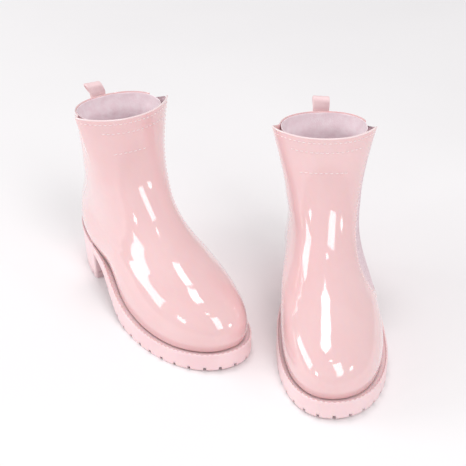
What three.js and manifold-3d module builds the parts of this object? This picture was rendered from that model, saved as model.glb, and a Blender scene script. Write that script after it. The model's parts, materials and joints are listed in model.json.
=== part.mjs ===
// A pair of women's ankle rain boots: glossy moulded PVC uppers with a ribbed elastic side gusset,
// a textile lining, a lugged sole with a welt, a block heel and a pull loop at the back of the collar.
//
// Millimetres, +Z up. The boots stand on Z = 0 and the toes point towards -Y. The pair's footprint
// is centred on the origin. The left boot stands on the +X side and the right boot on the -X side,
// turned so that its toe comes in towards the left one.
//
// Each boot is worked out in its own frame first: u runs forward from the back of the heel, w runs
// out to the +w side of the foot and z runs up. The surface of the upper is addressed by v, from 0
// at the welt to 1 at the collar, and by phi, from 0 at the toe through 90 degrees on the +w side
// to 180 degrees at the heel.
import * as THREE from 'three';
import { mergeVertices } from 'three/addons/utils/BufferGeometryUtils.js';
import Module from 'manifold-3d';

const wasm = await Module();
wasm.setup();

// ---------- driving dimensions ----------

const GAP = 0.3;                // clearance between pieces that touch on the real boot
const SHELL_ROWS = 13;          // fineness of the upper and the lining
const SHELL_COLUMNS = 34;
const GUSSET_ROWS = 13;         // fineness of the gusset and of its window
const GUSSET_COLUMNS = 5;
const SOLE_COLUMNS = 72;
const INSOLE_COLUMNS = 40;
const HEEL_COLUMNS = 22;
const UPPER_WALL = 2.2;         // moulded PVC
const LINING_WALL = 1.2;        // textile sock
const GUSSET_WALL = 1.2;        // ribbed elastic
const GUSSET_INSET = 0.4;       // how far the gusset sits below the surface of the upper
const GUSSET_RADIUS = 38;       // of the shaft at the gusset, for turning a margin into an angle

// Ledge outside the upper: a trace at the heel, and widening along u to its forefoot widths.
const WELT = { heel: 1.2, outer: 5.5, inner: 4, front: 4, from: 62, to: 112 };
const HEEL_FRONT = 62;          // u of the heel's front face
const HEEL_MIDDLE = 25;         // u of the middle that the heel draws in towards
const HEEL_TAPER = 0.9;         // plan size of the heel at the floor against its size at the seat
const TOP_PIECE = 6.5;          // height of the wearing piece under the heel
const SEAT_THICKNESS = 9;       // sole above the heel block

const LUG_PITCH = 16;           // spacing of the notches along the edge of the sole
const LUG_WIDTH = 2.6;
const LUG_HEIGHT = 4.5;
const LUG_DEPTH = 8;
const LUG_FROM = 108;           // u behind which the sole's edge has none
const HEEL_LUGS = [3, 6, 15, 18];  // columns of the heel's outline that have one

const INSOLE_INSET = 5.8;       // inside the upper's outer surface, clear of the lining
const INSOLE_THICKNESS = 3.6;
const BOARD_THICKNESS = 1.8;
const SHANK = { from: 38, to: 128, width: 13, thickness: 1.4 };

const TAB_WIDTH = 16.5;
const TAB_STRAP = 1.7;          // thickness of the folded strap
const TAB_HEIGHT = 11;          // loop above its fold line
const TAB_INSIDE = 6.6;         // clear gap inside the loop
const TAB_LEAN = 26;            // degrees that the loop leans back from upright
const TAB_LAP = 15;             // length sewn flat on the back of the collar
const TAB_RISE = 2.6;           // height of the fold line above the rim
const TAB_EYE = 2.6;            // height of the eye's foot above the fold line
const COLLAR_REACH = 180;       // height that one unit of v would span near the collar

const LEFT = { hand: 1, x: 87.5, y: -32, yaw: 2 };       // where the back of each heel stands
const RIGHT = { hand: -1, x: -147, y: 0, yaw: 33 };

// Sections of the upper from welt to collar: front point (u, z), back point (u, z), half widths on
// the outer and inner sides of the foot, and the fraction of the length at which the section is widest.
const SECTIONS = [
  { v: 0.00, front: [260, 19], back: [-7, 50], out: 49.5, in: 46, widest: 0.66 },
  { v: 0.06, front: [263, 30], back: [-9, 57], out: 50.5, in: 47, widest: 0.66 },
  { v: 0.13, front: [260, 43], back: [-10, 65], out: 49, in: 47, widest: 0.64 },
  { v: 0.21, front: [246.5, 56], back: [-10.5, 74], out: 44.5, in: 45, widest: 0.60 },
  { v: 0.31, front: [216.5, 68.5], back: [-8.5, 84], out: 39, in: 40, widest: 0.54 },
  { v: 0.43, front: [178, 84.5], back: [-2, 97], out: 35.5, in: 36, widest: 0.48 },
  { v: 0.55, front: [145, 104], back: [6, 112], out: 35, in: 35, widest: 0.46 },
  { v: 0.67, front: [121.5, 128], back: [13.5, 130], out: 37, in: 38, widest: 0.48 },
  { v: 0.79, front: [108, 154], back: [18, 150], out: 39, in: 40.5, widest: 0.50 },
  { v: 0.90, front: [101, 180], back: [20, 171], out: 41, in: 43, widest: 0.50 },
  { v: 1.00, front: [99, 201], back: [18, 190.5], out: 42.5, in: 44.5, widest: 0.50 },
];
const ROUNDNESS = 2.15;         // exponent of the sections: 2 is an ellipse

const WING = { phi: 82, out: 8.5, up: 2, from: 0.70, ahead: 32, behind: 8 };  // flared collar corners
const TOE_SWING = 4.5;          // how far the toe turns towards the inner side
const WAIST = { along: 0.38, spread: 0.13, out: 0.16, in: 0.24, upTo: 0.45 };  // narrowing under the arch
const WELT_FOLLOW = 0.4;        // v up to which the upper follows the welt's curve
const WELT_V = 0.05;            // v at which the plan outline of the sole is taken
const STEP = 0.004;             // of v and phi, for slopes taken along the surface

// Height of the welt and of the underside of the sole along the boot.
const WELT_LINE = [[-20, 50], [10, 50], [55, 47], [95, 38], [130, 27], [165, 19.5], [215, 17],
  [250, 19], [275, 22]];
const TREAD_LINE = [[60, 38], [75, 32], [95, 24], [115, 14.5], [135, 5.5], [150, 0.8], [160, 0],
  [210, 0], [240, 0.8], [262, 2.6], [275, 3.8]];

// Front and back edges of the gusset, in degrees of phi, from the collar down to the waist.
const GUSSET_EDGES = [[0.13, 103, 106], [0.20, 90, 111], [0.30, 73, 113], [0.40, 59, 110], [0.50, 52, 107],
  [0.62, 53, 105], [0.75, 60, 104], [0.88, 68, 104], [1.00, 74, 104]];

// ---------- curves ----------

const clamp = (x, low, high) => Math.min(high, Math.max(low, x));
const radians = THREE.MathUtils.degToRad;
const degrees = THREE.MathUtils.radToDeg;

// Smooth curve through rows of numbers keyed by their first entry.
function through(rows, t) {
  const last = rows.length - 1;
  let i = 0;
  while (i < last - 1 && t > rows[i + 1][0]) i++;
  const slope = (k, c) => {
    const a = rows[Math.max(0, k - 1)];
    const b = rows[Math.min(last, k + 1)];
    return (b[c] - a[c]) / (b[0] - a[0]);
  };
  const span = rows[i + 1][0] - rows[i][0];
  const x = clamp((t - rows[i][0]) / span, 0, 1);
  return rows[i].slice(1).map((start, k) => {
    const c = k + 1;
    return (2 * x ** 3 - 3 * x ** 2 + 1) * start + (x ** 3 - 2 * x ** 2 + x) * span * slope(i, c)
      + (3 * x ** 2 - 2 * x ** 3) * rows[i + 1][c] + (x ** 3 - x ** 2) * span * slope(i + 1, c);
  });
}

const FOOT = SECTIONS[0];
const SECTION_ROWS = SECTIONS.map((s) => [s.v, ...s.front, ...s.back, s.out, s.in, s.widest]);
const weltZ = (u) => through(WELT_LINE, u)[0];
// Width of the welt's ledge; outwards is -1 on the inner side of the foot, 0 at the toe, 1 on the outer.
const weltWidth = (u, outwards) => {
  const share = THREE.MathUtils.smoothstep(u, WELT.from, WELT.to);
  const side = outwards > 0 ? WELT.outer : WELT.inner;
  return THREE.MathUtils.lerp(WELT.heel, THREE.MathUtils.lerp(WELT.front, side, outwards ** 2), share);
};
const treadZ = (u) => Math.max(0, through(TREAD_LINE, u)[0]);

// ---------- solids ----------

// Closed mesh from a grid of points. The rows run one way, and columns close into a ring when asked.
function gridSolid(outer, inner, ring) {
  const rows = outer.length;
  const cols = outer[0].length;
  const points = [...outer.flat(), ...inner.flat()];
  const index = [];
  const quad = (a, b, c, d) => index.push(a, b, c, a, c, d);
  const at = (layer, i, j) => layer * rows * cols + i * cols + (ring ? j % cols : j);
  const spans = ring ? cols : cols - 1;
  for (let j = 0; j < spans; j++) {
    for (let i = 0; i < rows - 1; i++) {
      quad(at(0, i, j), at(0, i, j + 1), at(0, i + 1, j + 1), at(0, i + 1, j));
      quad(at(1, i, j + 1), at(1, i, j), at(1, i + 1, j), at(1, i + 1, j + 1));
    }
    quad(at(1, 0, j), at(1, 0, j + 1), at(0, 0, j + 1), at(0, 0, j));
    quad(at(0, rows - 1, j), at(0, rows - 1, j + 1), at(1, rows - 1, j + 1), at(1, rows - 1, j));
  }
  if (!ring) {
    for (let i = 0; i < rows - 1; i++) {
      quad(at(1, i, 0), at(0, i, 0), at(0, i + 1, 0), at(1, i + 1, 0));
      quad(at(0, i, cols - 1), at(1, i, cols - 1), at(1, i + 1, cols - 1), at(0, i + 1, cols - 1));
    }
  }
  return solid(points, index);
}

// Closed mesh with its faces turned outwards.
function solid(points, index) {
  let volume = 0;
  const cross = new THREE.Vector3();
  for (let i = 0; i < index.length; i += 3) {
    cross.crossVectors(points[index[i]], points[index[i + 1]]);
    volume += cross.dot(points[index[i + 2]]);
  }
  if (volume < 0) index.reverse();
  const geometry = new THREE.BufferGeometry().setFromPoints(points);
  geometry.setIndex(index);
  return geometry;
}

const steps = (count, from, to) => (
  Array.from({ length: count }, (_, i) => from + ((to - from) * i) / (count - 1)));
const turns = (count) => Array.from({ length: count }, (_, i) => (2 * Math.PI * i) / count);

// Solid between two closed plan loops of equal length, each at its own height per point.
function loft(lower, upper) {
  const n = lower.length;
  const points = [...lower, ...upper];
  const index = [];
  for (let i = 0; i < n; i++) {
    const k = (i + 1) % n;
    index.push(i, k, n + k, i, n + k, n + i);
  }
  const flat = lower.map((p) => new THREE.Vector2(p.x, p.y));
  for (const [a, b, c] of THREE.ShapeUtils.triangulateShape(flat, [])) {
    index.push(a, c, b, n + a, n + b, n + c);
  }
  return solid(points, index);
}

function toManifold(geometry) {
  const bare = geometry.clone();
  bare.deleteAttribute('normal');
  bare.deleteAttribute('uv');
  const merged = mergeVertices(bare, 1e-4);
  return new wasm.Manifold(new wasm.Mesh({
    numProp: 3,
    vertProperties: new Float32Array(merged.attributes.position.array),
    triVerts: new Uint32Array(merged.index.array),
  }));
}

function fromManifold(body) {
  const mesh = body.getMesh();
  const geometry = new THREE.BufferGeometry();
  geometry.setAttribute('position', new THREE.BufferAttribute(new Float32Array(mesh.vertProperties), 3));
  geometry.setIndex(new THREE.BufferAttribute(new Uint32Array(mesh.triVerts), 1));
  return geometry;
}

function minus(body, cutters) {
  let rest = toManifold(body);
  for (const cutter of cutters) rest = rest.subtract(toManifold(cutter));
  return fromManifold(rest);
}

// Underside of the sole: the seat over the heel, then the arch and the tread.
const underside = (u) => (u < HEEL_FRONT ? weltZ(u) - SEAT_THICKNESS : treadZ(u));

// Notch through the lower edge of the sole or of the heel.
function notch(p, angle, floor) {
  const box = new THREE.BoxGeometry(2 * LUG_DEPTH, LUG_WIDTH, 2 * LUG_HEIGHT);
  box.rotateZ(angle);
  box.translate(p.x, p.y, floor);
  return box;
}

// Profile in the u-z plane, extruded to the width of the strap.
function strapPiece(shape) {
  const options = { depth: TAB_WIDTH, bevelEnabled: false, curveSegments: 6 };
  const geometry = new THREE.ExtrudeGeometry(shape, options);
  geometry.rotateX(Math.PI / 2);
  geometry.translate(0, TAB_WIDTH / 2, 0);
  return geometry;
}

const BOARD_TOP = 2 * GAP + BOARD_THICKNESS;            // heights above the sole's top, inside the boot
const SHANK_TOP = BOARD_TOP + 2 * GAP + SHANK.thickness;
const TAB_RIM = SECTIONS.at(-1).back[1];
const TAB_FACE = SECTIONS.at(-1).back[0] - 2 * GAP;    // u of the strap's inner face at the rim
const TAB_FOLD = { u: TAB_FACE - TAB_STRAP, z: TAB_RIM + TAB_RISE };

// ---------- one boot ----------

// A boot in its own frame. hand is 1 where the outer side of the foot is the +w side, and -1 where
// it is the -w side. The gusset is on the +w side of both.
class Boot {
  constructor(hand) {
    this.hand = hand;
  }

  // Point of the upper's outer surface, with its collar corners flared or plain.
  surface(v, phi, flared = true) {
    const [frontU, frontZ, backU, backZ, out, inn, widest] = through(SECTION_ROWS, clamp(v, 0, 1));
    const power = (x) => Math.sign(x) * Math.abs(x) ** (2 / ROUNDNESS);
    const c = power(Math.cos(phi));
    const s = power(Math.sin(phi));
    const middle = backU + widest * (frontU - backU);
    const u = middle + (c > 0 ? frontU - middle : middle - backU) * c;
    const along = (u - backU) / (frontU - backU);
    const low = clamp(1 - v / WAIST.upTo, 0, 1) ** 1.5;
    const waist = Math.exp(-(((along - WAIST.along) / WAIST.spread) ** 2)) * low;
    const outerSide = s * this.hand > 0;
    let w = s * (outerSide ? out * (1 - WAIST.out * waist) : inn * (1 - WAIST.in * waist));
    w -= this.hand * TOE_SWING * clamp((u - 140) / 120, 0, 2) ** 2;
    let z = backZ + (frontZ - backZ) * along;
    const chordZ = FOOT.back[1] + (FOOT.front[1] - FOOT.back[1]) * along;
    z += clamp(1 - v / WELT_FOLLOW, 0, 1) ** 2 * (weltZ(u) - chordZ);
    const around = degrees(Math.acos(clamp(Math.cos(phi), -1, 1))) - WING.phi;
    const lobe = Math.exp(-((around / (around < 0 ? WING.ahead : WING.behind)) ** 2));
    const lift = flared ? clamp((v - WING.from) / (1 - WING.from), 0, 1) ** 1.5 * lobe : 0;
    return new THREE.Vector3(u, w + Math.sign(s) * WING.out * lift, z + WING.up * lift);
  }

  // Point at a depth under the surface, measured along its normal.
  under(v, phi, depth, flared = true) {
    const at = (a, b) => this.surface(clamp(a, 0, 1), b, flared);
    const around = at(v, phi + STEP).sub(at(v, phi - STEP));
    const up = at(v + STEP, phi).sub(at(v - STEP, phi));
    return at(v, phi).addScaledVector(around.cross(up).normalize(), -depth);
  }

  // Plan outline of the upper at the welt, moved outwards by a distance or by the welt's own width.
  outline(phi, outwards = null) {
    const p = this.surface(WELT_V, phi);
    const t = this.surface(WELT_V, phi + STEP).sub(this.surface(WELT_V, phi - STEP));
    const n = new THREE.Vector2(t.y, -t.x).normalize();
    const distance = outwards ?? weltWidth(p.x, Math.sin(phi) * this.hand);
    return new THREE.Vector2(p.x + n.x * distance, p.y + n.y * distance);
  }

  // Shell between two depths under the surface, closed all the way round, with level rims.
  ringShell(vFrom, vTo, depthOuter, depthInner, flared) {
    const levels = steps(SHELL_ROWS, 0, 1).map((v) => clamp(v, vFrom, vTo));
    const layer = (depth) => levels.map((v, row) => turns(SHELL_COLUMNS).map((phi) => {
      const p = this.under(v, phi, depth, flared);
      if (row === 0 || row === levels.length - 1) p.z = this.surface(v, phi, flared).z;
      return p;
    }));
    return gridSolid(layer(depthOuter), layer(depthInner), true);
  }

  // Panel that follows the gusset's edges, grown by a margin at the sides and run past the collar.
  gussetPanel(margin, above, depthOuter, depthInner) {
    const layer = (depth) => {
      const rows = steps(GUSSET_ROWS, GUSSET_EDGES[0][0], 1).map((v) => {
        const [front, back] = through(GUSSET_EDGES, v);
        const grow = margin / GUSSET_RADIUS;
        return steps(GUSSET_COLUMNS, radians(front) - grow, radians(back) + grow)
          .map((phi) => this.under(v, phi, depth));
      });
      rows[0].forEach((p) => p.setZ(p.z - 3 * margin));
      if (above > 0) rows.push(rows.at(-1).map((p) => p.clone().setZ(p.z + above)));
      return rows;
    };
    return gridSolid(layer(depthOuter), layer(depthInner), false);
  }

  // Plate over an outline that is symmetric in phi, with top and bottom heights along the boot.
  plate(columns, outwards, top, bottom) {
    const half = columns / 2;
    const edge = turns(columns).map((phi) => this.outline(phi, outwards));
    const points = [];
    for (const height of [top, bottom]) {
      for (const p of edge) points.push(new THREE.Vector3(p.x, p.y, height(p.x)));
    }
    const index = [];
    for (let i = 0; i < columns; i++) {
      const k = (i + 1) % columns;
      index.push(i, k, columns + k, i, columns + k, columns + i);
    }
    for (let i = 0; i < half; i++) {
      const a = i;
      const b = i + 1;
      const c = (columns - i - 1) % columns;
      const d = (columns - i) % columns;
      for (const [x, y, z] of [[a, b, c], [a, c, d]]) {
        if (x === y || y === z || x === z) continue;
        index.push(x, z, y, columns + x, columns + y, columns + z);
      }
    }
    return solid(points, index);
  }

  upper() {
    const shell = this.ringShell(0.003, 1, 0, UPPER_WALL, true);
    return minus(shell, [this.gussetPanel(2 * GAP, 20, -3, 5)]);
  }

  sideGusset() {
    return this.gussetPanel(0, 0, GUSSET_INSET, GUSSET_INSET + GUSSET_WALL);
  }

  lining() {
    const depth = UPPER_WALL + 3 * GAP;
    return this.ringShell(0.022, 0.985, depth, depth + LINING_WALL, false);
  }

  // Points along the edge of the forefoot, one lug pitch apart, with the outward direction at each.
  lugPlaces() {
    const places = [];
    let travelled = 0;
    let previous = this.outline(Math.PI / 2);
    for (let phi = Math.PI / 2; phi > -Math.PI / 2; phi -= 0.01) {
      const p = this.outline(phi);
      travelled += p.distanceTo(previous);
      previous = p;
      if (p.x < LUG_FROM || travelled < LUG_PITCH) continue;
      travelled = 0;
      const outwards = this.outline(phi, 2 * WELT.outer).sub(p).normalize();
      places.push({ p, angle: Math.atan2(outwards.y, outwards.x) });
    }
    return places;
  }

  outsole() {
    const body = this.plate(SOLE_COLUMNS, null, weltZ, underside);
    return minus(body, this.lugPlaces().map(({ p, angle }) => notch(p, angle, treadZ(p.x))));
  }

  // Plan loop of the heel, drawn in towards its middle by a factor, each point at its own height.
  heelLoop(scale, height) {
    const middle = new THREE.Vector2(HEEL_MIDDLE, 0);
    let start = Math.PI / 2;
    while (this.outline(start).x > HEEL_FRONT) start += 0.01;
    return steps(HEEL_COLUMNS, start, 2 * Math.PI - start).map((phi) => {
      const p = this.outline(phi, WELT.heel - 0.4);
      p.x = Math.min(p.x, HEEL_FRONT);
      p.sub(middle).multiplyScalar(scale).add(middle);
      return new THREE.Vector3(p.x, p.y, height(p.x));
    });
  }

  heelBlock() {
    return loft(
      this.heelLoop(HEEL_TAPER + 0.01, () => TOP_PIECE + GAP),
      this.heelLoop(1, (u) => weltZ(u) - SEAT_THICKNESS - 3 * GAP),
    );
  }

  heelTopPiece() {
    const loop = this.heelLoop(HEEL_TAPER, () => 0);
    const body = loft(loop, loop.map((p) => p.clone().setZ(TOP_PIECE)));
    const cuts = HEEL_LUGS.map((i) => {
      const along = loop[i + 1].clone().sub(loop[i - 1]);
      return notch(loop[i], Math.atan2(along.y, along.x) + Math.PI / 2, 0);
    });
    return minus(body, cuts);
  }

  // Flat layer inside the boot, lying above the sole's top by the given heights.
  layer(inwards, low, high) {
    return this.plate(INSOLE_COLUMNS, -inwards, (u) => weltZ(u) + high, (u) => weltZ(u) + low);
  }

  insoleBoard() {
    return this.layer(INSOLE_INSET, 2 * GAP, BOARD_TOP);
  }

  insole() {
    return this.layer(INSOLE_INSET, SHANK_TOP + 2 * GAP, SHANK_TOP + 2 * GAP + INSOLE_THICKNESS);
  }

  // Steel strip that stiffens the waist, following the curve of the board.
  shank() {
    const stations = steps(10, SHANK.from, SHANK.to);
    const row = (w, top) => stations.map((u) => (
      new THREE.Vector3(u, w, weltZ(u) + BOARD_TOP + 2 * GAP + (top ? SHANK.thickness : 0))));
    const half = SHANK.width / 2;
    return gridSolid([row(-half, true), row(half, true)], [row(-half, false), row(half, false)], false);
  }

  // The strap's two ends, sewn one over the other on the back of the collar.
  tabBase() {
    const rim = TAB_RIM;
    const heights = steps(5, rim - TAB_LAP, rim);
    const inner = heights.map((z) => {
      const v = 1 - (rim - z) / COLLAR_REACH;
      return new THREE.Vector2(this.surface(v, Math.PI).x - 2 * GAP, z);
    });
    inner.push(new THREE.Vector2(TAB_FACE, rim + 0.6));
    const outer = inner.map((p) => new THREE.Vector2(p.x - 2 * TAB_STRAP, p.y)).reverse();
    return strapPiece(new THREE.Shape([...inner, ...outer]));
  }

  // The strap's loop, leaning back over its fold line.
  tabLoop() {
    const { u, z } = TAB_FOLD;
    const teardrop = (half, foot, low) => {
      const path = new THREE.Path();
      const top = z + TAB_HEIGHT - TAB_STRAP - TAB_INSIDE / 2;
      path.moveTo(u + half, top);
      path.absarc(u, top, half, 0, Math.PI, false);
      path.lineTo(u - foot, low);
      path.absarc(u, low, foot, Math.PI, 2 * Math.PI, false);
      path.closePath();
      return path;
    };
    const shape = new THREE.Shape(teardrop(TAB_INSIDE / 2 + TAB_STRAP, TAB_STRAP, z).getPoints(6));
    shape.holes.push(new THREE.Path(teardrop(TAB_INSIDE / 2, TAB_STRAP - 0.4, z + TAB_EYE).getPoints(6)));
    const loop = strapPiece(shape);
    loop.translate(-u, 0, -z);
    loop.rotateY(-radians(TAB_LEAN));
    loop.translate(u, 0, z);
    return loop;
  }
}

// ---------- the pair ----------

const plastic = (color, roughness) => new THREE.MeshStandardMaterial({ color, roughness, metalness: 0 });
const FINISH = {
  upper: plastic(0xf2cccd, 0.12),
  gusset: plastic(0xe3cdd3, 0.7),
  lining: plastic(0xe5cad1, 0.9),
  insole: plastic(0xe0c6cc, 0.9),
  board: plastic(0xb8a48c, 0.9),
  shank: new THREE.MeshStandardMaterial({ color: 0x8f9296, roughness: 0.35, metalness: 1 }),
  sole: plastic(0xebcfd2, 0.35),
  topPiece: plastic(0xe2c3c7, 0.6),
  strap: plastic(0xefc6c9, 0.3),
};

const PIECES = {
  upper: [(b) => b.upper(), FINISH.upper],
  side_gusset: [(b) => b.sideGusset(), FINISH.gusset],
  lining: [(b) => b.lining(), FINISH.lining],
  insole: [(b) => b.insole(), FINISH.insole],
  insole_board: [(b) => b.insoleBoard(), FINISH.board],
  shank: [(b) => b.shank(), FINISH.shank],
  outsole: [(b) => b.outsole(), FINISH.sole],
  heel_block: [(b) => b.heelBlock(), FINISH.sole],
  heel_top_piece: [(b) => b.heelTopPiece(), FINISH.topPiece],
  pull_tab_base: [(b) => b.tabBase(), FINISH.strap],
  pull_tab_loop: [(b) => b.tabLoop(), FINISH.strap],
};

// One boot, turned so that its toe points towards -Y and its +w side lies towards +X.
function standing(name, place) {
  const group = new THREE.Group();
  const boot = new Boot(place.hand);
  for (const [piece, [make, finish]] of Object.entries(PIECES)) {
    const mesh = new THREE.Mesh(make(boot), finish);
    mesh.name = `${name}_${piece}`;
    group.add(mesh);
  }
  group.rotation.z = radians(place.yaw - 90);
  group.position.set(place.x, place.y, 0);
  return group;
}

const pair = new THREE.Group();
pair.add(standing('left', LEFT), standing('right', RIGHT));
pair.updateMatrixWorld(true);
const middle = new THREE.Box3().setFromObject(pair, true).getCenter(new THREE.Vector3());
pair.position.set(-middle.x, -middle.y, 0);

export default pair;
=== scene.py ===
"""Looks for a pair of women's ankle rain boots in glossy pink PVC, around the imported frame.

Each boot is shaped in its own frame, in millimetres: u runs forward from the back of the heel, w
runs out to the +X side and z runs up. The upper's surface is addressed by v, from 0 at the welt to
1 at the collar, and by phi, from 0 at the toe through 90 degrees on the +w side to 180 at the heel.
"""
import json
import math

import bpy
import numpy as np
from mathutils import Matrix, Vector


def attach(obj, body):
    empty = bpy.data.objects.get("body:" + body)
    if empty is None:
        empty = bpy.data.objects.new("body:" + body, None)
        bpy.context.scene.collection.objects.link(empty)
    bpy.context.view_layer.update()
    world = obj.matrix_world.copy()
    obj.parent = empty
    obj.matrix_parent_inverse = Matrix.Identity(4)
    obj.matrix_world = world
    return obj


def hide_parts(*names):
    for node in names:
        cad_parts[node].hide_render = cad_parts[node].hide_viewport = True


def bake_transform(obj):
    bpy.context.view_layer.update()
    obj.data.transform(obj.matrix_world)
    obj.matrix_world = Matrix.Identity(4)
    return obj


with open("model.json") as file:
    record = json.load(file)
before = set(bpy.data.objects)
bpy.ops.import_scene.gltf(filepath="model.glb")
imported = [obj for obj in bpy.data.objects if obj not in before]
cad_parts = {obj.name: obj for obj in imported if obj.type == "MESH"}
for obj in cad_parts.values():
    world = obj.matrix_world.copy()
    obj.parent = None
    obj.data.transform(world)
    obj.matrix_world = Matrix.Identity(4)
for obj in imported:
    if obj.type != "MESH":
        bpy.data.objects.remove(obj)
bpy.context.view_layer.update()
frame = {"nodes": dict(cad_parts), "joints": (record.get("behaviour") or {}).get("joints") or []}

MM = 0.001

# ---------------------------------------------------------------- camera

CAMERA_PLACE = (0.0072, -1.0253, 0.7508)
CAMERA_DOWN = 32.2       # degrees below level
CAMERA_LENS = 96.3       # millimetres on a 36 mm sensor

# ---------------------------------------------------------------- sizes of a boot, millimetres

UPPER_WALL = 2.2
RIM_WALL = 1.2           # the shell thins towards the collar
BEAD = 0.85              # radius of the rolled edge
LINING_WALL = 1.2
WELT = {"heel": 1.2, "outer": 5.5, "inner": 4, "front": 4, "from": 62, "to": 112}
HEEL_FRONT = 62
HEEL_MIDDLE = np.array([25.0, 0.0])
HEEL_TAPER = 0.9
TOP_PIECE = 6.5
SEAT_THICKNESS = 9
LUG = {"pitch": 16, "width": 3.0, "height": 4.8, "depth": 8, "from": 100}
TAB = {"width": 16.5, "strap": 1.5, "height": 10.8, "inside": 6.4, "lap": 15, "lean": 26, "fold_u": 15.7,
       "fold_z": 193.1, "sway": -0.42}
WING = {"phi": 82, "out": 8.5, "up": 2, "from": 0.70, "ahead": 32, "behind": 8}
TOE_SWING = 4.5          # how far the toe turns towards the inner side
ROUNDNESS = 2.15         # exponent of the sections: 2 is an ellipse
WAIST = {"along": 0.38, "spread": 0.13, "out": 0.16, "in": 0.24, "up_to": 0.45}  # narrowing under the arch
WELT_FOLLOW = 0.4        # v up to which the upper follows the welt's curve
WELT_V = 0.05            # v at which the plan outline of the sole is taken
STEP = 0.004             # of v and phi, for slopes taken along the surface
GUSSET_TOP = 0.985       # v of the gusset's upper end
GUSSET_TAPER = 0.03      # length, in v, over which the gusset opens from its lower point
KNOB_PITCH = 2.3         # of the gusset's moulded knobs
LINING_TOP = 0.994       # v of the lining's rolled edge
COLLAR_REACH = 180       # height that one unit of v would span at the back of the collar
RIM = {"front": 201, "back": 190.5}

# Sections: v, front u and z, back u and z, half width on the outer and the inner side, widest place.
SECTIONS = np.array([
    [0.00, 260, 19, -7, 50, 49.5, 46, 0.66],
    [0.06, 263, 30, -9, 57, 50.5, 47, 0.66],
    [0.13, 260, 43, -10, 65, 49, 47, 0.64],
    [0.21, 246.5, 56, -10.5, 74, 44.5, 45, 0.60],
    [0.31, 216.5, 68.5, -8.5, 84, 39, 40, 0.54],
    [0.43, 178, 84.5, -2, 97, 35.5, 36, 0.48],
    [0.55, 145, 104, 6, 112, 35, 35, 0.46],
    [0.67, 121.5, 128, 13.5, 130, 37, 38, 0.48],
    [0.79, 108, 154, 18, 150, 39, 40.5, 0.50],
    [0.90, 101, 180, 20, 171, 41, 43, 0.50],
    [1.00, 99, RIM["front"], 18, RIM["back"], 42.5, 44.5, 0.50],
])
WELT_LINE = np.array([[-20, 50], [10, 50], [55, 47], [95, 38], [130, 27], [165, 19.5], [215, 17], [250, 19],
                      [275, 22]], float)
TREAD_LINE = np.array([[60, 38], [75, 32], [95, 24], [115, 14.5], [135, 5.5], [150, 0.8], [160, 0], [210, 0],
                       [240, 0.8], [262, 2.6], [275, 3.8]], float)
# Gusset edges: v, front phi, back phi, in degrees.
GUSSET_EDGES = np.array([[0.13, 103, 106], [0.20, 90, 111], [0.30, 73, 113], [0.40, 59, 110], [0.50, 52, 107],
                         [0.62, 53, 105], [0.75, 60, 104], [0.88, 68, 104], [1.00, 74, 104]])
RIM_SLOPE = 205          # millimetres of height per unit of v near the collar


# ---------------------------------------------------------------- curves

def through(rows, t):
    """Smooth curve through rows of numbers keyed by their first column, for an array of keys."""
    t = np.asarray(t, float)
    keys = rows[:, 0]
    values = rows[:, 1:]
    slopes = np.empty_like(values)
    slopes[1:-1] = (values[2:] - values[:-2]) / (keys[2:] - keys[:-2])[:, None]
    slopes[0] = (values[1] - values[0]) / (keys[1] - keys[0])
    slopes[-1] = (values[-1] - values[-2]) / (keys[-1] - keys[-2])
    i = np.clip(np.searchsorted(keys, t, side="right") - 1, 0, len(keys) - 2)
    span = (keys[i + 1] - keys[i])[..., None]
    x = np.clip((t - keys[i])[..., None] / span, 0, 1)
    start = (2 * x ** 3 - 3 * x ** 2 + 1) * values[i] + (x ** 3 - 2 * x ** 2 + x) * span * slopes[i]
    return start + (3 * x ** 2 - 2 * x ** 3) * values[i + 1] + (x ** 3 - x ** 2) * span * slopes[i + 1]


def smoothstep(x, low, high):
    x = np.clip((np.asarray(x, float) - low) / (high - low), 0, 1)
    return x * x * (3 - 2 * x)


def welt_z(u):
    return through(WELT_LINE, u)[..., 0]


def tread_z(u):
    return np.maximum(0, through(TREAD_LINE, u)[..., 0])


def welt_width(u, outwards):
    """Width of the ledge; outwards is -1 on the inner side, 0 at the toe and 1 on the outer side."""
    side = np.where(outwards > 0, WELT["outer"], WELT["inner"])
    forefoot = WELT["front"] + (side - WELT["front"]) * outwards ** 2
    return WELT["heel"] + (forefoot - WELT["heel"]) * smoothstep(u, WELT["from"], WELT["to"])


def gusset_span(v):
    """Front and back edge of the gusset in radians, drawn to a round point at its lower end."""
    front, back = np.moveaxis(np.radians(through(GUSSET_EDGES, v)), -1, 0)
    middle = (front + back) / 2
    low = GUSSET_EDGES[0, 0]
    open_by = np.sqrt(np.clip((np.asarray(v) - low) / GUSSET_TAPER, 0, 1))
    return middle + (front - middle) * open_by, middle + (back - middle) * open_by


def shell_wall(v):
    """Thickness of the shell, which tapers to the collar."""
    return UPPER_WALL + (RIM_WALL - UPPER_WALL) * smoothstep(v, 0.88, 0.98)


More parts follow.
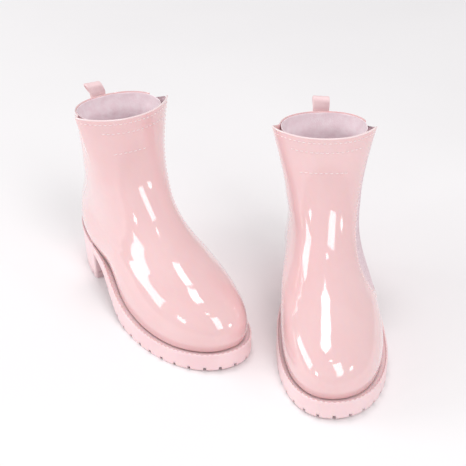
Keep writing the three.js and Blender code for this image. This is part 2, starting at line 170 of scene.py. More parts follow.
class Boot:
    """One boot's surfaces. hand is 1 where the outer side of the foot is the +w side, else -1."""

    def __init__(self, name, hand):
        self.name = name
        self.hand = hand
        joint = next(j for j in frame["joints"] if j["name"] == name + "_loop_fold")
        self.side = Vector(joint["axis"]).normalized()
        self.forward = Vector((self.side.y, -self.side.x, 0))
        hinge = Vector(joint["pos_m"])
        self.foot = Vector((hinge.x, hinge.y, 0)) - self.forward * TAB["fold_u"] * MM
        self.body = name + "_boot"
        self.loop_body = name + "_loop"

    def world(self, points):
        """Points of the boot's own frame as metres in the row frame."""
        p = np.asarray(points, float) * MM
        axes = np.array([self.forward, self.side, (0, 0, 1)])
        return p @ axes + np.array(self.foot)

    def surface(self, v, phi, flared=True):
        """Points of the upper's outer surface."""
        v, phi = np.broadcast_arrays(np.clip(v, 0, 1), phi)
        front_u, front_z, back_u, back_z, out, inn, widest = np.moveaxis(through(SECTIONS, v), -1, 0)
        c = np.cos(phi)
        s = np.sin(phi)
        cosine = np.sign(c) * np.abs(c) ** (2 / ROUNDNESS)
        sine = np.sign(s) * np.abs(s) ** (2 / ROUNDNESS)
        middle = back_u + widest * (front_u - back_u)
        u = middle + np.where(cosine > 0, front_u - middle, middle - back_u) * cosine
        along = (u - back_u) / (front_u - back_u)
        waist = np.exp(-((along - WAIST["along"]) / WAIST["spread"]) ** 2)
        waist = waist * np.clip(1 - v / WAIST["up_to"], 0, 1) ** 1.5
        outer_side = out * (1 - WAIST["out"] * waist)
        inner_side = inn * (1 - WAIST["in"] * waist)
        w = sine * np.where(sine * self.hand > 0, outer_side, inner_side)
        w = w - self.hand * TOE_SWING * np.clip((u - 140) / 120, 0, 2) ** 2
        z = back_z + (front_z - back_z) * along
        chord = SECTIONS[0, 4] + (SECTIONS[0, 2] - SECTIONS[0, 4]) * along
        z = z + np.clip(1 - v / WELT_FOLLOW, 0, 1) ** 2 * (welt_z(u) - chord)
        around = np.degrees(np.arccos(np.clip(c, -1, 1))) - WING["phi"]
        lobe = np.exp(-(around / np.where(around < 0, WING["ahead"], WING["behind"])) ** 2)
        lift = np.clip((v - WING["from"]) / (1 - WING["from"]), 0, 1) ** 1.5 * lobe * flared
        return np.stack([u, w + np.sign(s) * WING["out"] * lift, z + WING["up"] * lift], -1)

    def normal(self, v, phi, flared=True):
        around = self.surface(v, phi + STEP, flared) - self.surface(v, phi - STEP, flared)
        up = self.surface(v + STEP, phi, flared) - self.surface(v - STEP, phi, flared)
        n = np.cross(around, up)
        return n / np.linalg.norm(n, axis=-1, keepdims=True)

    def under(self, v, phi, depth, flared=True):
        """Points at a depth under the surface."""
        v, phi, depth = np.broadcast_arrays(v, phi, depth)
        return self.surface(v, phi, flared) - self.normal(v, phi, flared) * depth[..., None]

    def outline(self, phi, outwards):
        """Plan outline of the upper at the welt, moved outwards."""
        p = self.surface(WELT_V, phi)[..., :2]
        t = (self.surface(WELT_V, phi + STEP) - self.surface(WELT_V, phi - STEP))[..., :2]
        n = np.stack([t[..., 1], -t[..., 0]], -1)
        n = n / np.linalg.norm(n, axis=-1, keepdims=True)
        return p + n * np.asarray(outwards)[..., None]

    def even_phis(self, count):
        """Values of phi that are evenly spaced along the edge of the sole."""
        phi = np.linspace(0, 2 * np.pi, 4001)
        p = self.outline(phi, np.full(phi.shape, WELT["outer"]))
        run = np.concatenate([[0], np.cumsum(np.linalg.norm(np.diff(p, axis=0), axis=1))])
        return np.interp(np.linspace(0, run[-1], count, endpoint=False), run, phi), run[-1]


# ---------------------------------------------------------------- mesh building

class Soup:
    """Collects vertices and faces of one piece, in the boot's own frame."""

    def __init__(self):
        self.points = []
        self.faces = []
        self.count = 0

    def add(self, points):
        points = np.asarray(points, float).reshape(-1, 3)
        self.points.append(points)
        start = self.count
        self.count += len(points)
        return start

    def grid(self, points, wrap=False, flip=False):
        """Adds a grid of points (rows, columns, 3), with quads between them."""
        rows, cols = points.shape[:2]
        start = self.add(points)
        spans = cols if wrap else cols - 1
        i, j = np.meshgrid(np.arange(rows - 1), np.arange(spans), indexing="ij")
        k = (j + 1) % cols
        quads = np.stack([i * cols + j, i * cols + k, (i + 1) * cols + k, (i + 1) * cols + j], -1)
        quads = quads.reshape(-1, 4) + start
        self.faces.extend((quads[:, ::-1] if flip else quads).tolist())
        return start

    def fan(self, loop, flip=False):
        """Closes a loop of points with triangles round its middle."""
        start = self.add(np.vstack([loop, loop.mean(axis=0)]))
        n = len(loop)
        for a in range(n):
            tri = (start + a, start + (a + 1) % n, start + n)
            self.faces.append(tri[::-1] if flip else tri)

    def bridge(self, loop, rows=10, flip=False):
        """Closes a loop that runs from the toe round to the toe, with strips from side to side."""
        half = len(loop) // 2
        near = loop[:half + 1]
        far = np.vstack([loop[:1], loop[:half - 1:-1]])[:half + 1]
        t = np.linspace(0, 1, rows)[:, None, None]
        self.grid(near[None] * (1 - t) + far[None] * t, flip=flip)


def make_object(name, soup, boot, material, sharp=38):
    mesh = bpy.data.meshes.new(name)
    mesh.from_pydata(boot.world(np.vstack(soup.points)).tolist(), [], soup.faces)
    obj = bpy.data.objects.new(name, mesh)
    bpy.context.scene.collection.objects.link(obj)
    bpy.ops.object.select_all(action="DESELECT")
    bpy.context.view_layer.objects.active = obj
    obj.select_set(True)
    bpy.ops.object.mode_set(mode="EDIT")
    bpy.ops.mesh.select_all(action="SELECT")
    bpy.ops.mesh.remove_doubles(threshold=0.00002)
    bpy.ops.mesh.normals_make_consistent(inside=False)
    bpy.ops.object.mode_set(mode="OBJECT")
    obj.select_set(False)
    mesh.shade_smooth()
    mesh.set_sharp_from_angle(angle=math.radians(sharp))
    mesh.materials.append(material)
    return obj


# ---------------------------------------------------------------- materials

def srgb(r, g, b):
    """Linear colour of an 8-bit sRGB one."""
    return tuple(((c / 255 + 0.055) / 1.055) ** 2.4 if c > 10 else c / 255 / 12.92 for c in (r, g, b)) + (1,)


class Finish:
    """A node material in the making, with its shader and object coordinates at hand."""

    def __init__(self, name, roughness, **constants):
        self.material = bpy.data.materials.new(name)
        self.material.use_nodes = True
        self.nodes = self.material.node_tree.nodes
        self.links = self.material.node_tree.links
        self.shader = self.nodes["Principled BSDF"]
        self.shader.inputs["Roughness"].default_value = roughness
        for key, value in constants.items():
            self.shader.inputs[key.replace("_", " ")].default_value = value
        self.coords = self.nodes.new("ShaderNodeTexCoord").outputs["Object"]
        self.height = None

    def noise(self, scale, detail=3, stretch=(1, 1, 1)):
        mapping = self.nodes.new("ShaderNodeMapping")
        mapping.inputs["Scale"].default_value = stretch
        self.links.new(self.coords, mapping.inputs["Vector"])
        node = self.nodes.new("ShaderNodeTexNoise")
        node.inputs["Scale"].default_value = scale
        node.inputs["Detail"].default_value = detail
        self.links.new(mapping.outputs["Vector"], node.inputs["Vector"])
        return node.outputs["Fac"]

    def cells(self, scale, feature="F1", stretch=(1, 1, 1)):
        mapping = self.nodes.new("ShaderNodeMapping")
        mapping.inputs["Scale"].default_value = stretch
        self.links.new(self.coords, mapping.inputs["Vector"])
        node = self.nodes.new("ShaderNodeTexVoronoi")
        node.feature = feature
        node.inputs["Scale"].default_value = scale
        self.links.new(mapping.outputs["Vector"], node.inputs["Vector"])
        return node.outputs["Distance"]

    def ramp(self, source, stops):
        """Colours by position along a source value."""
        node = self.nodes.new("ShaderNodeValToRGB")
        ramp = node.color_ramp
        for place, colour in stops[2:]:
            ramp.elements.new(place)
        for element, (place, colour) in zip(ramp.elements, stops):
            element.position = place
            element.color = colour
        self.links.new(source, node.inputs["Fac"])
        return node.outputs["Color"]

    def colour(self, source, stops):
        self.links.new(self.ramp(source, stops), self.shader.inputs["Base Color"])

    def roughness(self, source, low, high):
        node = self.nodes.new("ShaderNodeMapRange")
        node.inputs["From Min"].default_value = 0.3
        node.inputs["From Max"].default_value = 0.7
        node.inputs["To Min"].default_value = low
        node.inputs["To Max"].default_value = high
        self.links.new(source, node.inputs["Value"])
        self.links.new(node.outputs["Result"], self.shader.inputs["Roughness"])

    def bump(self, source, distance, strength=1.0):
        """Adds a layer of relief, with its height in millimetres."""
        node = self.nodes.new("ShaderNodeBump")
        node.inputs["Strength"].default_value = strength
        node.inputs["Distance"].default_value = distance * MM
        self.links.new(source, node.inputs["Height"])
        if self.height:
            self.links.new(self.height, node.inputs["Normal"])
        self.height = node.outputs["Normal"]
        self.links.new(self.height, self.shader.inputs["Normal"])


def pvc_gloss():
    """Moulded glossy PVC: slightly translucent, with a faint orange peel."""
    f = Finish("pvc_gloss", 0.1, Subsurface_Weight=0.12, Subsurface_Scale=0.004, Coat_Weight=1.0,
               Coat_Roughness=0.03, IOR=1.58)
    f.colour(f.noise(14, 4), [(0.35, srgb(240, 198, 199)), (0.65, srgb(243, 204, 205))])
    f.roughness(f.noise(60, 5), 0.07, 0.13)
    f.bump(f.noise(45, 2), 0.05, 0.5)
    f.bump(f.noise(1400, 2), 0.006, 0.4)
    return f.material


def pvc_satin():
    """The sole's PVC: satin, finely grained by the mould."""
    f = Finish("pvc_satin", 0.35, Subsurface_Weight=0.1, Subsurface_Scale=0.003, IOR=1.5)
    f.colour(f.noise(20, 4), [(0.35, srgb(245, 213, 216)), (0.65, srgb(249, 221, 223))])
    f.roughness(f.noise(90, 5), 0.28, 0.42)
    f.bump(f.noise(900, 3), 0.05, 0.6)
    return f.material


def bead():
    """The collar's rolled edge: the same PVC, painted paler as a highlight along the rim."""
    f = Finish("bead", 0.2, Coat_Weight=0.6, Coat_Roughness=0.08, IOR=1.5)
    # pale tones: a painted highlight along the collar's rolled edge
    f.colour(f.noise(30, 3), [(0.35, srgb(250, 226, 227)), (0.65, srgb(253, 234, 234))])
    f.bump(f.noise(700, 2), 0.01, 0.4)
    return f.material


def elastic():
    """Ribbed elastic of the gusset, a fine knit between its moulded ribs."""
    f = Finish("elastic", 0.75, Sheen_Weight=0.3, Sheen_Roughness=0.4)
    f.colour(f.cells(700), [(0.1, srgb(214, 184, 193)), (0.55, srgb(238, 216, 222))])
    f.bump(f.cells(1500), 0.12, 0.7)
    return f.material


def textile():
    """Brushed knit of the lining."""
    f = Finish("textile", 0.9, Sheen_Weight=0.35, Sheen_Roughness=0.5)
    f.colour(f.noise(160, 5), [(0.3, srgb(246, 224, 231)), (0.7, srgb(252, 238, 243))])
    f.bump(f.cells(900), 0.15, 0.8)
    f.bump(f.noise(60, 3), 0.12, 0.2)
    return f.material


def footbed():
    """Brushed cover of the insole, pressed a little by wear."""
    f = Finish("footbed", 0.92, Sheen_Weight=0.25, Sheen_Roughness=0.5)
    f.colour(f.noise(40, 5), [(0.3, srgb(224, 194, 201)), (0.7, srgb(236, 210, 216))])
    f.bump(f.noise(700, 4), 0.2, 0.7)
    return f.material


def thread():
    """Pale twisted thread."""
    f = Finish("thread", 0.6, Sheen_Weight=0.2)
    f.colour(f.noise(900, 2), [(0.35, srgb(250, 226, 226)), (0.65, srgb(255, 242, 241))])
    f.bump(f.noise(2600, 2, (1, 1, 3)), 0.06, 0.8)
    return f.material


def strap():
    """Coated tape of the pull loop, with a faint woven relief."""
    f = Finish("strap", 0.32, Coat_Weight=0.2, Coat_Roughness=0.15)
    f.colour(f.noise(60, 4), [(0.3, srgb(243, 210, 212)), (0.7, srgb(250, 222, 223))])
    f.roughness(f.noise(200, 4), 0.25, 0.4)
    f.bump(f.noise(500, 2, (1, 1, 4)), 0.06, 0.5)
    return f.material


def heel_rubber():
    """Matte wearing piece."""
    f = Finish("heel_rubber", 0.6)
    f.colour(f.noise(120, 4), [(0.3, srgb(232, 204, 207)), (0.7, srgb(240, 214, 217))])
    f.bump(f.noise(1100, 3), 0.08, 0.7)
    return f.material


def fibre_board():
    f = Finish("fibre_board", 0.88)
    f.colour(f.noise(300, 6, (1, 0.2, 1)), [(0.3, srgb(170, 150, 124)), (0.7, srgb(196, 176, 148))])
    f.bump(f.noise(500, 5), 0.1, 0.6)
    return f.material


def spring_steel():
    f = Finish("spring_steel", 0.35, Metallic=1.0)
    f.colour(f.noise(200, 4, (1, 0.05, 1)), [(0.3, srgb(142, 145, 149)), (0.7, srgb(172, 174, 177))])
    f.roughness(f.noise(300, 4, (1, 0.05, 1)), 0.28, 0.45)
    return f.material


MATERIALS = {
    "upper": pvc_gloss(),
    "sole": pvc_satin(),
    # bead finish: pale, a painted highlight on the collar's rolled edge
    "bead": bead(),
    "gusset": elastic(),
    "lining": textile(),
    "insole": footbed(),
    "thread": thread(),
    "strap": strap(),
    "top_piece": heel_rubber(),
    "board": fibre_board(),
    "shank": spring_steel(),
}


# ---------------------------------------------------------------- upper, gusset and lining

def rounding(distance, radius):
    """Depth under a surface of an edge that is rounded with that radius, by distance from the edge."""
    inwards = np.clip(radius - distance, 0, radius)
    return radius - np.sqrt(radius ** 2 - inwards ** 2)


def ring_columns(boot, v, start, stop, count, edge_steps):
    """Angles along one ring, close together at its two ends, and each one's distance to an end."""
    phi = np.linspace(start, stop, 900)
    p = boot.surface(v, phi)
    run = np.concatenate([[0], np.cumsum(np.linalg.norm(np.diff(p, axis=0), axis=1))])
    near = np.array(edge_steps)
    even = np.linspace(near[-1], run[-1] - near[-1], count)[1:-1]
    places = np.concatenate([near, even, run[-1] - near[::-1]])
    return np.interp(places, run, phi), np.minimum(places, run[-1] - places)


def upper(boot):
    """The moulded shell, with a round rim and round edges along the gusset."""
    low = GUSSET_EDGES[0, 0]
    window_foot = low + GUSSET_TAPER * np.linspace(0, 1, 9) ** 2
    collar = 1 - 0.024 * np.linspace(0, 1, 14) ** 2
    v = np.unique(np.concatenate([np.linspace(0.003, 0.975, 120), window_foot, collar]))
    front, back = gusset_span(v)
    edge_steps = (0, 0.1, 0.3, 0.6, 1.1)
    rows = [ring_columns(boot, level, b, f + 2 * np.pi, 250, edge_steps)
            for level, b, f in zip(v, back, front)]
    phi = np.array([r[0] for r in rows])
    distance = np.array([r[1] for r in rows])
    opened = np.where(v > low, 1.0, 0.0)[:, None]
    wall = shell_wall(v)[:, None]
    rim = rounding((1 - v[:, None]) * RIM_SLOPE, wall / 2)
    depth = np.maximum(rounding(distance, wall / 2) * opened, rim)
    soup = Soup()
    outer = boot.under(v[:, None], phi, depth)
    inner = boot.under(v[:, None], phi, wall - depth)
    soup.grid(outer)
    soup.grid(inner, flip=True)
    soup.grid(np.stack([inner[0], outer[0]]))
    window = v >= low
    for column in (0, -1):
        soup.grid(np.stack([outer[window, column], inner[window, column]], 1), flip=column == 0)
    piece = make_object(boot.name + "_moulded_upper", soup, boot, MATERIALS["upper"], 50)
    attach(piece, boot.body)
    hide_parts(boot.name + "_upper")


def gusset(boot):
    """Elastic panel: rows of small moulded knobs, a little crowned between its edges."""
    v = np.linspace(GUSSET_EDGES[0, 0] + 0.004, GUSSET_TOP, 420)[:, None]
    t = np.linspace(0, 1, 92)[None, :]
    front, back = gusset_span(v)
    phi = front + (back - front) * t
    flat = boot.surface(v, phi)
    width = np.linalg.norm(flat[:, -1] - flat[:, 0], axis=-1)[:, None]
    run = np.concatenate([[0], np.cumsum(np.linalg.norm(np.diff(flat[:, 46], axis=0), axis=1))])[:, None]
    across = (t - 0.5) * width
    knobs = (np.sin(np.pi * across / KNOB_PITCH) * np.sin(np.pi * run / KNOB_PITCH)) ** 2
    crown = 1 - (2 * t - 1) ** 6
    rim = rounding((GUSSET_TOP - v) * RIM_SLOPE, 0.7)
    edge = np.minimum(crown * 3, 1)
    soup = Soup()
    soup.grid(boot.under(v, phi, 1.3 - 0.55 * crown - 0.5 * knobs * edge + rim))
    soup.grid(boot.under(v[::6], phi[::6, ::7], np.full((1, 1), 2.0)), flip=True)
    piece = make_object(boot.name + "_elastic_gusset", soup, boot, MATERIALS["gusset"], 180)
    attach(piece, boot.body)
    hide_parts(boot.name + "_side_gusset")


def lining(boot):
    """Knitted sock inside the shell, rolled over at the collar."""
    phi = np.linspace(0, 2 * np.pi, 200, endpoint=False)[None, :]
    rolled = LINING_TOP - 0.018 * np.linspace(1, 0, 10)[1:] ** 2
    v = np.concatenate([np.linspace(0.022, 0.975, 90), rolled])[:, None]
    depth = shell_wall(v) + 0.9 - 0.75 * smoothstep(v, 0.9, 0.97)
    thick = LINING_WALL - 0.3 * smoothstep(v, 0.9, 0.97)
    rim = rounding((LINING_TOP - v) * RIM_SLOPE, thick / 2)
    soft = 0.25 * np.sin(phi * 9 + v * 20) * np.sin(v * 31 + phi * 2)
    soup = Soup()
    outer = boot.under(v, phi, depth + rim, False)
    inner = boot.under(v, phi, depth + thick - rim + soft * (rim == 0), False)
    soup.grid(outer, wrap=True)
    soup.grid(inner, wrap=True, flip=True)
    piece = make_object(boot.name + "_knit_lining", soup, boot, MATERIALS["lining"], 180)
    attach(piece, boot.body)
    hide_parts(boot.name + "_lining")


def footbed_piece(boot):
    """Insole with a rounded upper edge and a shallow heel cup."""
    phi = np.linspace(0, 2 * np.pi, 240, endpoint=False)
    soup = Soup()
    loops = []
    for inwards, height in ((6.2, 4.8), (5.9, 5.4), (5.9, 7.2), (6.3, 7.9), (7.4, 8.3)):
        p = boot.outline(phi, np.full(phi.shape, -inwards))
        loops.append(np.column_stack([p, welt_z(p[:, 0]) + height]))
    soup.grid(np.array(loops), wrap=True)
    soup.bridge(loops[-1], 24)
    soup.bridge(loops[0], 24, flip=True)
    piece = make_object(boot.name + "_footbed", soup, boot, MATERIALS["insole"])
    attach(piece, boot.body)
    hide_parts(boot.name + "_insole")


# ---------------------------------------------------------------- sole and heel

def lug_run(boot, phi):
    """Distance along the edge of the sole from the toe, signed, for a list of angles."""
    fine = np.linspace(-np.pi, np.pi, 4001)
    p = boot.outline(fine, np.full(fine.shape, WELT["outer"]))
    run = np.concatenate([[0], np.cumsum(np.linalg.norm(np.diff(p, axis=0), axis=1))])
    wrapped = (phi + np.pi) % (2 * np.pi) - np.pi
    return np.interp(wrapped, fine, run - run[2000])


def outsole(boot):
    """Sole unit: a bead round the welt, a channel with moulded cuts inside it, and lugs below."""
    phi, _ = boot.even_phis(1500)
    run = lug_run(boot, phi)
    plan = boot.outline(phi, np.zeros(phi.shape))
    u = plan[:, 0]
    width = welt_width(u, np.sin(phi) * boot.hand) - 2.4 * (1 - smoothstep(u, 57, 63))
    open_welt = smoothstep(u, 66, 92)
    bead = 0.45 + 0.75 * open_welt
    top = welt_z(u)
    bottom = np.where(u < HEEL_FRONT, top - SEAT_THICKNESS, tread_z(u))
    cut = (0.5 + 0.5 * np.cos(2 * np.pi * run / 3.4)) ** 4 * open_welt
    offset = (run / LUG["pitch"]) % 1
    in_lug = np.minimum(offset, 1 - offset) * LUG["pitch"] < LUG["width"] / 2
    lifted = np.where(in_lug & (u > LUG["from"]), LUG["height"], 0)
    rows = []

    def row(outwards, height):
        p = boot.outline(phi, outwards)
        rows.append(np.column_stack([p, height]))

    row(np.full(u.shape, -2.5), top - 1.6)
    row(np.full(u.shape, -0.6), top - 0.3 - 0.7 * open_welt)
    row(np.minimum(0.2, width - 2 * bead), top - 0.3 - 0.7 * open_welt - 0.4 * cut)
    for angle in np.radians([180, 155, 130, 105, 80, 60, 40, 20, 0]):
        row(width - bead + bead * np.cos(angle), top - bead + bead * np.sin(angle)
            + (0.45 * open_welt - 0.5 * cut * (angle > 1.6)))
    wall = top - bead - bottom
    for share in (0.12, 0.3, 0.5, 0.68, 0.8):
        row(width - 0.35 * np.sin(np.pi * share), top - bead - wall * share)
    row(width - 0.2, np.maximum(bottom + 1.0, bottom + lifted))
    row(width - 0.5, bottom + 0.35 + lifted)
    row(width - 1.1, bottom + lifted)
    row(width - LUG["depth"], bottom + lifted)
    row(width - LUG["depth"] - 0.4, bottom + 1.6)
    row(width - LUG["depth"] - 3, bottom + 1.8)
    soup = Soup()
    soup.grid(np.array(rows), wrap=True, flip=True)
    soup.bridge(rows[-1], 30)
    soup.bridge(rows[0], 30, flip=True)
    piece = make_object(boot.name + "_sole_unit", soup, boot, MATERIALS["sole"], 35)
    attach(piece, boot.body)
    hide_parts(boot.name + "_outsole")


def half_widths(boot, u, inwards):
    """Inner and outer limits of w inside the sole's edge, for stations along the boot."""
    phi = np.linspace(0, np.pi, 1200)
    limits = []
    for side in (1, -1):
        p = boot.outline(side * phi, np.full(phi.shape, WELT["inner"] - inwards))
        order = np.argsort(p[:, 0])
        limits.append(np.interp(u, p[order, 0], p[order, 1]))
    return limits


def tread(boot):
    """Chevron bars under the ball of the foot and the waist."""
    soup = Soup()
    for station in np.arange(112, 246, 9.0):
        right, left = half_widths(boot, np.array([station]), LUG["depth"] + 4)
        half = (right[0] - left[0]) / 2
        middle = (right[0] + left[0]) / 2
        if half < 6:
            continue
        w = np.linspace(-half, half, 41)
        sweep = station + 5.0 * np.abs(w) / 30 - 3
        bar = []
        for du, dz in ((-1.9, 1.9), (-1.7, 0.35), (-1.3, 0.0), (1.3, 0.0), (1.7, 0.35), (1.9, 1.9)):
            u = sweep + du
            bar.append(np.column_stack([u, middle + w, tread_z(u) + dz]))
        soup.grid(np.array(bar), flip=True)
        ends = np.array(bar)
        soup.fan(ends[:, 0])
        soup.fan(ends[:, -1], flip=True)
    piece = make_object(boot.name + "_tread_bars", soup, boot, MATERIALS["sole"])
    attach(piece, boot.body)


def heel_loop(boot, scale, hollow=0.0):
    """Plan loop of the heel, with rounded front corners and a front face that is drawn back."""
    fine = np.linspace(np.pi / 2, np.pi, 2000)
    start = fine[np.argmax(boot.outline(fine, np.full(fine.shape, 0.8))[:, 0] < HEEL_FRONT)]
    phi = np.linspace(start, 2 * np.pi - start, 220)
    arc = boot.outline(phi, np.full(phi.shape, WELT["heel"] - 0.4))
    arc[:, 0] = np.minimum(arc[:, 0], HEEL_FRONT)
    t = np.linspace(0, 1, 74)[1:-1, None]
    face = arc[-1] * (1 - t) + arc[0] * t
    face[:, 0] -= hollow * np.sin(np.pi * t[:, 0]) ** 0.8
    loop = np.vstack([arc, face])
    for _ in range(12):
        loop = 0.5 * loop + 0.25 * (np.roll(loop, 1, axis=0) + np.roll(loop, -1, axis=0))
    return HEEL_MIDDLE + (loop - HEEL_MIDDLE) * scale


def heel(boot):
    """Heel block with a hollowed front, over a grooved wearing piece."""
    soup = Soup()
    rows = []
    for share, inset, drop in ((0, 0, 0.5), (0, 0, 0), (0.15, 0, 0), (0.4, 0, 0), (0.65, 0, 0),
                               (0.85, 0, 0), (1, 0, 0), (1, 0.006, -0.4)):
        scale = 1 + (HEEL_TAPER + 0.008 - 1) * share - inset
        p = heel_loop(boot, scale, 3.0)
        upper_z = welt_z(p[:, 0]) - 0.9 + drop
        lower_z = TOP_PIECE + 0.7 + (drop if share == 1 else 0)
        rows.append(np.column_stack([p, upper_z * (1 - share) + lower_z * share]))
    soup.grid(np.array(rows), wrap=True, flip=True)
    soup.fan(rows[-1])
    soup.fan(rows[0], flip=True)
    block = make_object(boot.name + "_heel_stack", soup, boot, MATERIALS["sole"])
    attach(block, boot.body)
    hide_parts(boot.name + "_heel_block")

    loop = heel_loop(boot, HEEL_TAPER)
    run = np.concatenate([[0], np.cumsum(np.linalg.norm(np.diff(loop, axis=0), axis=1))])
    places = run[219] * np.array([0.06, 0.22, 0.36, 0.5, 0.64, 0.78, 0.94])
    in_lug = (np.abs(run[:, None] - places).min(axis=1) < 1.2) & (run < run[219])
    lifted = np.where(in_lug, LUG["height"] - 0.6, 0)
    rows = []
    for inset, z in ((0.6, TOP_PIECE + 0.1), (0.0, TOP_PIECE - 0.5), (0.0, TOP_PIECE - 2), (0.1, 1.2),
                     (0.5, 0.35), (1.2, 0.0), (7.5, 0.0), (8.0, 1.2), (10.5, 1.2), (11.0, 0.0)):
        reach = np.linalg.norm(loop - HEEL_MIDDLE, axis=1)[:, None]
        p = HEEL_MIDDLE + (loop - HEEL_MIDDLE) * (1 - inset / reach)
        height = np.maximum(z, lifted) if z <= 1.2 and inset < 7.8 else np.full(len(loop), z)
        rows.append(np.column_stack([p, height]))
    soup = Soup()
    soup.grid(np.array(rows), wrap=True, flip=True)
    soup.fan(rows[-1])
    soup.fan(rows[0], flip=True)
    top_piece = make_object(boot.name + "_heel_wear_piece", soup, boot, MATERIALS["top_piece"], 35)
    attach(top_piece, boot.body)
    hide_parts(boot.name + "_heel_top_piece")


# ---------------------------------------------------------------- sewing and the pull tab

def sew(soup, path, normals, pitch=5.0, length=3.7, radius=0.42):
    """A row of stitches along a path, each a short thread that dips into the surface at its ends."""
    run = np.concatenate([[0], np.cumsum(np.linalg.norm(np.diff(path, axis=0), axis=1))])
    turn = np.linspace(0, 2 * np.pi, 8, endpoint=False)

    def at(values, s):
        return np.stack([np.interp(s, run, values[:, k]) for k in range(3)], -1)

    for start in np.arange(pitch / 2, run[-1] - length, pitch):
        s = start + length * np.linspace(0, 1, 7)
        middle = at(path, s)
        up = at(normals, s)
        up = up / np.linalg.norm(up, axis=1, keepdims=True)
        ahead = middle[-1] - middle[0]
        side = np.cross(up, ahead / np.linalg.norm(ahead))
        swell = np.array([0.25, 0.8, 1, 1, 1, 0.8, 0.25])[:, None, None] * radius
        rise = np.array([-0.45, 0.05, 0.2, 0.26, 0.2, 0.05, -0.45])[:, None] * radius / 0.42
        core = middle + up * rise
        around = np.cos(turn)[None, :, None] * side[:, None] + np.sin(turn)[None, :, None] * up[:, None]
        ring = around * swell
        grid = core[:, None] + ring
        soup.grid(grid, wrap=True)
        soup.fan(grid[0], flip=True)
        soup.fan(grid[-1])


def rim_bead_painted_highlight(boot):
    """Rolled edge along the front of the collar, from corner to corner, pale with a painted highlight."""
    front = gusset_span(np.array([1.0]))[0][0]
    phi = np.linspace(-math.radians(WING["phi"]), front - 0.03, 180)
    core, out = surface_path(boot, 1.0, phi)
    core = core - out * RIM_WALL / 2
    ahead = np.gradient(core, axis=0)
    ahead /= np.linalg.norm(ahead, axis=1, keepdims=True)
    side = np.cross(out, ahead)
    turn = np.linspace(0, 2 * np.pi, 12, endpoint=False)
    swell = BEAD * np.clip(np.minimum(np.arange(180), np.arange(180)[::-1]) / 4 + 0.3, 0, 1)[:, None, None]
    grid = core[:, None] + swell * (np.cos(turn)[None, :, None] * side[:, None]
                                    + np.sin(turn)[None, :, None] * out[:, None])
    soup = Soup()
    soup.grid(grid, wrap=True)
    soup.fan(grid[0], flip=True)
    soup.fan(grid[-1])
    # the bead finish paints a highlight along the rim
    piece = make_object(boot.name + "_rim_bead", soup, boot, MATERIALS["bead"], 180)
    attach(piece, boot.body)


def surface_path(boot, v, phi):
    v, phi = np.broadcast_arrays(v, phi)
    return boot.surface(v, phi), boot.normal(v, phi)


def sewing(boot):
    """The rows round the collar and across the front of the shaft, and along both gusset edges."""
    soup = Soup()
    front, back = gusset_span(np.array([0.978]))
    first = 1 - 4.5 / RIM_SLOPE
    for low, high in ((math.radians(-79), front[0] - 0.05), (back[0] + 0.07, math.radians(360 - 93))):
        sew(soup, *surface_path(boot, first, np.linspace(low, high, 200)))
    phi = np.linspace(math.radians(-52), math.radians(52), 160)
    sew(soup, *surface_path(boot, 1 - 14 / RIM_SLOPE, phi))
    phi = np.radians(np.linspace(-42, 33 if boot.hand > 0 else 8, 160))
    sew(soup, *surface_path(boot, 0.845 - 0.009 * (phi + 0.07) ** 2 / 0.42, phi))
    v = np.linspace(GUSSET_EDGES[0, 0] + 0.012, 0.965, 260)
    front, back = gusset_span(v)
    sew(soup, *surface_path(boot, v, front - 0.065), 4.2, 2.9, 0.34)
    sew(soup, *surface_path(boot, v, back + 0.065), 4.2, 2.9, 0.34)
    phi = np.linspace(math.radians(-118), math.radians(118), 900)
    plan = boot.outline(phi, np.zeros(phi.shape))
    phi = phi[plan[:, 0] > 84]
    plan = plan[plan[:, 0] > 84]
    out = boot.outline(phi, welt_width(plan[:, 0], np.sin(phi) * boot.hand) - 1.3)
    path = np.column_stack([out, welt_z(plan[:, 0]) + 0.42])
    sew(soup, path, np.tile([0, 0, 1.0], (len(phi), 1)), 5.0, 3.6, 0.38)
    piece = make_object(boot.name + "_stitching", soup, boot, MATERIALS["thread"], 180)
    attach(piece, boot.body)


def tab_path(boot):
    """Middle line of the strap in the u-z plane: up the collar, round the loop and down again."""
    z = np.linspace(RIM["back"] - TAB["lap"], RIM["back"] + 0.4, 14)
    face = boot.surface(1 - (RIM["back"] - np.minimum(z, RIM["back"])) / COLLAR_REACH, np.pi)[:, 0] - 0.6
    face = np.minimum(face, SECTIONS[-1, 3] - 0.6)
    inner = np.column_stack([face - 0.8, z])
    outer = np.column_stack([face - 2.45, z])[::-1]
    half = TAB["inside"] / 2 + TAB["strap"] / 2
    u = TAB["fold_u"]
    top = TAB["fold_z"] + TAB["height"] - half
    arc = np.linspace(0, np.pi, 17)
    crown = np.column_stack([u + half * np.cos(arc), top + half * np.sin(arc)])
    rise = np.linspace(0, 1, 9)[1:-1]
    bow = smoothstep(rise, 0, 1)
    start_u, start_z = inner[-1]
    up = np.column_stack([start_u + (u + half - start_u) * bow, start_z + (top - start_z) * rise])
    down = np.column_stack([u - half + (outer[0, 0] - u + half) * bow, top + (outer[0, 1] - top) * rise])
    path = np.vstack([inner, up, crown, down, outer])
    height = path[:, 1] - TAB["fold_z"]
    lean = math.radians(TAB["lean"]) * smoothstep(height, -2, 4)
    ahead = path[:, 0] - u
    return np.column_stack([u + ahead * np.cos(lean) - height * np.sin(lean),
                            TAB["fold_z"] + ahead * np.sin(lean) + height * np.cos(lean)])


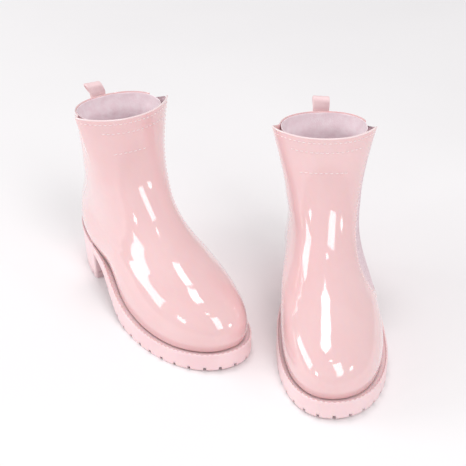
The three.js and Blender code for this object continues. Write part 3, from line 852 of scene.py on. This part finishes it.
def pull_tab(boot):
    """Folded tape sewn over the back of the collar, its loop standing free."""
    path = tab_path(boot)
    tangent = np.gradient(path, axis=0)
    tangent /= np.linalg.norm(tangent, axis=1, keepdims=True)
    normal = np.column_stack([tangent[:, 1], -tangent[:, 0]])
    half = TAB["width"] / 2
    thick = TAB["strap"] / 2
    turn = np.radians(np.arange(-90, 91, 30))
    side = np.column_stack([half - thick + thick * np.cos(turn), thick * np.sin(turn)])
    across = np.linspace(half - thick, -(half - thick), 9)[1:-1]
    ribs = 0.12 * np.cos(across * 2.2)
    section = np.vstack([side, np.column_stack([across, thick + ribs]), side[::-1] * [-1, 1],
                         np.column_stack([-across, -thick - ribs])])
    grid = np.empty((len(path), len(section), 3))
    sway = TAB["sway"] if boot.hand < 0 else 0
    twist = 0.16 * smoothstep(path[:, 1], RIM["back"] + 1, RIM["back"] + 12)[:, None]
    grid[..., 0] = path[:, None, 0] + normal[:, None, 0] * section[None, :, 1] + section[None, :, 0] * twist
    rise = np.clip(path[:, None, 1] - TAB["fold_z"], 0, None)
    grid[..., 1] = section[None, :, 0] + sway * rise
    grid[..., 2] = path[:, None, 1] + normal[:, None, 1] * section[None, :, 1]
    soup = Soup()
    soup.grid(grid, wrap=True)
    soup.fan(grid[0], flip=True)
    soup.fan(grid[-1])
    piece = make_object(boot.name + "_pull_strap", soup, boot, MATERIALS["strap"], 60)
    fold = TAB["fold_z"]
    low, high = boot.world([[TAB["fold_u"], 0, fold - 2.5], [TAB["fold_u"], 0, fold + 2.5]])
    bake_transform(piece)
    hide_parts(boot.name + "_pull_tab_base", boot.name + "_pull_tab_loop")

    soup = Soup()
    z = np.linspace(RIM["back"] - TAB["lap"] + 2, RIM["back"] - 2, 30)
    face = boot.surface(1 - (RIM["back"] - z) / COLLAR_REACH, np.pi)[:, 0]
    face = np.minimum(face, SECTIONS[-1, 3]) - 0.6 - 3.2
    back = np.tile([-1.0, 0, 0], (30, 1))
    for w in (-5.8, 5.8):
        sew(soup, np.column_stack([face, np.full(30, w), z]), back, 3.2, 2.3, 0.3)
    for k in (0, -1):
        line = np.column_stack([np.full(30, face[k]), np.linspace(-5.8, 5.8, 30), np.full(30, z[k])])
        sew(soup, line, back, 3.2, 2.3, 0.3)
    piece = make_object(boot.name + "_strap_stitching", soup, boot, MATERIALS["thread"], 180)
    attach(piece, boot.body)


# ---------------------------------------------------------------- the pair

for one in (Boot("left", 1), Boot("right", -1)):
    upper(one)
    gusset(one)
    lining(one)
    footbed_piece(one)
    outsole(one)
    tread(one)
    heel(one)
    rim_bead_painted_highlight(one)
    sewing(one)
    pull_tab(one)
    for node, finish in (("_insole_board", "board"), ("_shank", "shank")):
        slots = frame["nodes"][one.name + node].material_slots
        for place in slots:
            place.material = MATERIALS[finish]


# ---------------------------------------------------------------- studio

def studio_floor():
    f = Finish("studio_paper", 0.8)
    f.colour(f.noise(3, 2), [(0.3, srgb(250, 249, 250)), (0.7, srgb(253, 252, 253))])
    bpy.ops.mesh.primitive_plane_add(size=8, location=(0, 0, -0.0002))
    floor = bpy.context.object
    floor.name = "studio_floor"
    floor.data.materials.append(f.material)


def softbox(name, azimuth, elevation, distance, size, radiance, aim=(0.0, 0.0, 0.08)):
    """Rectangular lamp facing the boots. Azimuth 0 is the camera's side, positive to its right."""
    light = bpy.data.lights.new(name, "AREA")
    light.shape = "RECTANGLE"
    light.size, light.size_y = size
    light.energy = math.pi * radiance * size[0] * size[1]
    lamp = bpy.data.objects.new(name, light)
    angle = math.radians(azimuth)
    rise = math.radians(elevation)
    direction = Vector((math.cos(rise) * math.sin(angle), -math.cos(rise) * math.cos(angle), math.sin(rise)))
    lamp.location = Vector(aim) + direction * distance
    lamp.rotation_euler = (-direction).to_track_quat("-Z", "Y").to_euler()
    bpy.context.scene.collection.objects.link(lamp)


studio_floor()
softbox("box_left", -93, 21, 2.2, (1.45, 0.80), 3.6)
softbox("box_left_low", -54, 21, 2.2, (0.36, 0.28), 5.5)
softbox("box_right", 26, 48, 2.3, (0.72, 1.40), 4.2)
softbox("box_right_low", 62, 30, 2.2, (0.34, 0.30), 5.5)
softbox("box_over", -145, 81, 2.1, (0.52, 0.44), 6.6)
softbox("box_front", 2, 74, 2.2, (0.26, 0.20), 5.0)

world = bpy.data.worlds.new("studio")
world.use_nodes = True
world.node_tree.nodes["Background"].inputs["Color"].default_value = (1.0, 0.985, 0.99, 1)
world.node_tree.nodes["Background"].inputs["Strength"].default_value = 0.62
bpy.context.scene.world = world

bpy.context.scene.view_settings.view_transform = "Standard"

camera = bpy.data.objects.new("camera", bpy.data.cameras.new("camera"))
camera.location = CAMERA_PLACE
camera.rotation_euler = (math.radians(90 - CAMERA_DOWN), 0, 0)
camera.data.lens = CAMERA_LENS
camera.data.sensor_width = 36
bpy.context.scene.collection.objects.link(camera)
bpy.context.scene.camera = camera
